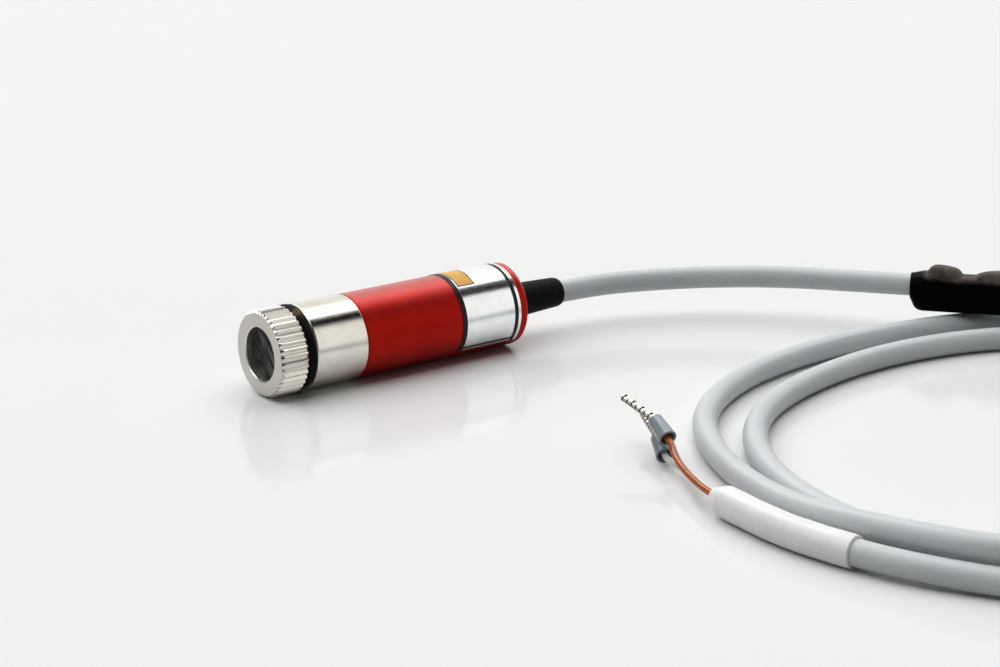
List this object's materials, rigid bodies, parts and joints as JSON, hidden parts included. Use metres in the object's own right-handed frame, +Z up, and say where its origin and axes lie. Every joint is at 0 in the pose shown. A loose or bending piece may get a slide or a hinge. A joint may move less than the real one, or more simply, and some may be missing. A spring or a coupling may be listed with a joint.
{
  "type": "laser diode module",
  "caption": "Round line-laser module with a knurled focus ring, a clampable tube and a loosely coiled grey supply lead with an in-line unit and ferruled cores.",
  "frame": {"origin": "on the surface that the module lies on, under the middle of the module's length from the ring's front face to the end of the strain relief", "axes": "+X along the optical axis from the aperture to the lead, the beam leaves along -X, +Z up"},
  "size_m": [0.1335, 0.1382, 0.0122],
  "materials": {
    "nickel": "satin nickel plate over turned brass",
    "red_anodised": "matte red anodised",
    "black_rubber": "matte black rubber",
    "label_foil": "metallised polyester foil, printed border, no text",
    "optic": "clear",
    "brass": "turned",
    "gilt": "gold plated",
    "spring_steel": "drawn wire",
    "polymer": "low-friction polymer",
    "board_green": "solder mask",
    "chip_black": "moulded",
    "chip_tan": "moulded",
    "trimmer_blue": "moulded",
    "tinned": "tinned copper",
    "cable_grey": "soft matte jacket",
    "shrink_black": "shrunk sleeve",
    "shrink_white": "shrunk sleeve",
    "core_brown": "wire insulation",
    "core_white": "wire insulation",
    "collar_grey": "moulded"
  },
  "bodies": {
    "module": {"o_ring": "black_rubber", "focus_spring": "spring_steel", "front_barrel": "nickel", "diode_holder": "brass", "laser_diode": "gilt", "driver_board": "board_green", "set_resistors": "chip_black", "driver_chip": "chip_black", "smoothing_capacitor": "chip_tan", "current_trimmer": "trimmer_blue", "supply_cores": "core_brown", "body_tube": "red_anodised", "label": "label_foil", "strain_relief": "black_rubber", "cable_clamp": "tinned", "cable_lead": "cable_grey", "inline_unit": "shrink_black", "cable_loops": "cable_grey", "marker_sleeve": "shrink_white", "brown_core": "core_brown", "brown_ferrule_collar": "collar_grey", "brown_ferrule_tube": "tinned", "white_core": "core_white", "white_ferrule_collar": "collar_grey", "white_ferrule_tube": "tinned"},
    "slip_washer": {"thrust_washer": "polymer"},
    "focus": {"focus_ring": "nickel", "line_lens": "optic", "collimating_lens": "optic", "lens_retainer": "brass"}
  },
  "joints": [
    {"name": "focus_travel", "type": "slide", "parent": "module", "child": "slip_washer", "axis": [-1, 0, 0], "range_m": [0, 0.0005], "deforming": ["focus_spring"]},
    {"name": "focus_turn", "type": "hinge", "parent": "slip_washer", "child": "focus", "pos_m": [-0.02535, 0, 0.00612], "axis": [-1, 0, 0], "range_deg": [0, 360]}
  ],
  "couplings": [
    {"joint": "focus_turn", "follows": "focus_travel", "rad_per_m": 12566}
  ]
}
